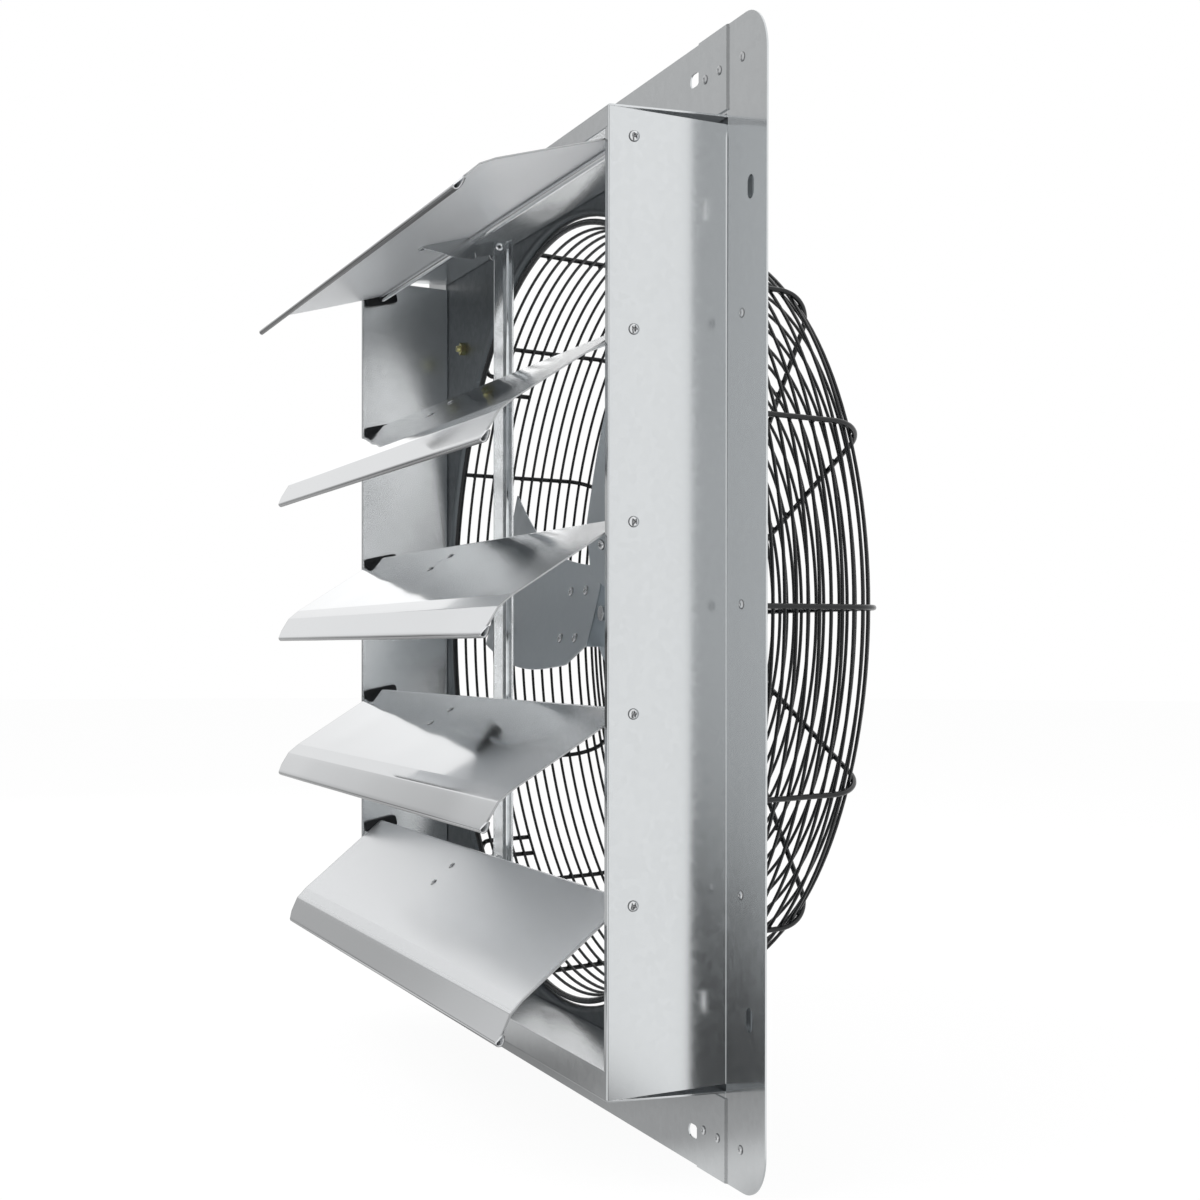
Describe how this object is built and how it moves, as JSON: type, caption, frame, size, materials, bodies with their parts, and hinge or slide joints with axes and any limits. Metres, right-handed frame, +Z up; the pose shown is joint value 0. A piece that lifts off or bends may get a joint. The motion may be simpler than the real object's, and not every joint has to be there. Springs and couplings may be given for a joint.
{
  "type": "shutter exhaust fan",
  "caption": "Wall exhaust fan: a square galvanised flange with linked gravity louvers in front of a bladed fan, which a wire guard and its motor cover from behind.",
  "frame": {"origin": "on the fan axis, in the front face of the mounting flange", "axes": "-Y is the way the air leaves, past the louvers; +Y is the guard side; +Z is up; +X is the side away from the tie bar"},
  "size_m": [0.74, 0.3106, 0.74],
  "materials": {
    "galvanised_sheet": "satin galvanised sheet",
    "louver_sheet": "bright rolled sheet",
    "dark_zinc_sheet": "dull galvanised sheet",
    "rivet_metal": "satin",
    "plain_steel": "machined",
    "black_nylon": "matt",
    "black_wire": "gloss powder coat",
    "yellow_zinc": "yellow passivated zinc",
    "black_motor": "satin enamel",
    "core_steel": "laminated",
    "winding_wire": "enamelled",
    "spider_steel": "zinc plated",
    "blade_sheet": "dull galvanised sheet"
  },
  "bodies": {
    "frame": {"side_panel_right": "galvanised_sheet", "side_panel_left": "galvanised_sheet", "top_panel": "galvanised_sheet", "bottom_panel": "galvanised_sheet", "venturi_plate": "dark_zinc_sheet", "flange_rivets": "rivet_metal", "tab_rivets": "rivet_metal", "pivot_screws_right": "plain_steel", "pivot_screws_left": "plain_steel", "bearings_right": "black_nylon", "bearings_left": "black_nylon", "guard_base_ring": "black_wire", "guard_wall_rings": "black_wire", "guard_face_rings": "black_wire", "guard_ribs": "black_wire", "guard_feet": "black_wire", "guard_bolts": "yellow_zinc", "guard_nuts": "yellow_zinc", "motor_plate": "black_motor", "motor_shell": "black_motor", "motor_front_bell": "black_motor", "motor_rear_bell": "black_motor", "stator": "core_steel", "windings": "winding_wire", "front_bearing": "plain_steel", "rear_bearing": "plain_steel", "motor_bolts": "plain_steel", "mount_nuts": "plain_steel", "terminal_box": "black_motor", "cable_gland": "black_nylon"},
    "louver_1": {"louver_1": "louver_sheet", "louver_bracket_1": "galvanised_sheet", "louver_rivets_1": "rivet_metal"},
    "louver_2": {"louver_2": "louver_sheet", "louver_bracket_2": "galvanised_sheet", "louver_rivets_2": "rivet_metal"},
    "louver_3": {"louver_3": "louver_sheet", "louver_bracket_3": "galvanised_sheet", "louver_rivets_3": "rivet_metal"},
    "louver_4": {"louver_4": "louver_sheet", "louver_bracket_4": "galvanised_sheet", "louver_rivets_4": "rivet_metal"},
    "louver_5": {"louver_5": "louver_sheet", "louver_bracket_5": "galvanised_sheet", "louver_rivets_5": "rivet_metal"},
    "tie_bar": {"tie_bar": "galvanised_sheet", "tie_bar_pins": "rivet_metal"},
    "fan": {"hub": "plain_steel", "set_screw": "plain_steel", "spider": "spider_steel", "blade_1": "blade_sheet", "blade_2": "blade_sheet", "blade_3": "blade_sheet", "blade_rivets": "rivet_metal", "shaft": "plain_steel", "rotor": "core_steel"}
  },
  "joints": [
    {"name": "louver_1_swing", "type": "hinge", "parent": "frame", "child": "louver_1", "pos_m": [0, -0.064, 0.2934], "axis": [1, 0, 0], "range_deg": [-16.4, 68.7]},
    {"name": "louver_2_swing", "type": "hinge", "parent": "frame", "child": "louver_2", "pos_m": [0, -0.064, 0.1726], "axis": [1, 0, 0], "range_deg": [-12, 50.5]},
    {"name": "louver_3_swing", "type": "hinge", "parent": "frame", "child": "louver_3", "pos_m": [0, -0.064, 0.0518], "axis": [1, 0, 0], "range_deg": [-12, 50.5]},
    {"name": "louver_4_swing", "type": "hinge", "parent": "frame", "child": "louver_4", "pos_m": [0, -0.064, -0.069], "axis": [1, 0, 0], "range_deg": [-12, 50.5]},
    {"name": "louver_5_swing", "type": "hinge", "parent": "frame", "child": "louver_5", "pos_m": [0, -0.064, -0.1898], "axis": [1, 0, 0], "range_deg": [-8.3, 34.9]},
    {"name": "tie_bar_pivot", "type": "hinge", "parent": "louver_3", "child": "tie_bar", "pos_m": [-0.02, -0.0442, 0.0469], "axis": [1, 0, 0], "range_deg": [-50.5, 12]},
    {"name": "fan_spin", "type": "hinge", "parent": "frame", "child": "fan", "pos_m": [0, 0.04, 0], "axis": [0, 1, 0], "continuous": true}
  ],
  "couplings": [
    {"joint": "louver_1_swing", "follows": "louver_3_swing", "ratio": 1.36},
    {"joint": "louver_2_swing", "follows": "louver_3_swing", "ratio": 1},
    {"joint": "louver_4_swing", "follows": "louver_3_swing", "ratio": 1},
    {"joint": "louver_5_swing", "follows": "louver_3_swing", "ratio": 0.69},
    {"joint": "tie_bar_pivot", "follows": "louver_3_swing", "ratio": -1}
  ]
}
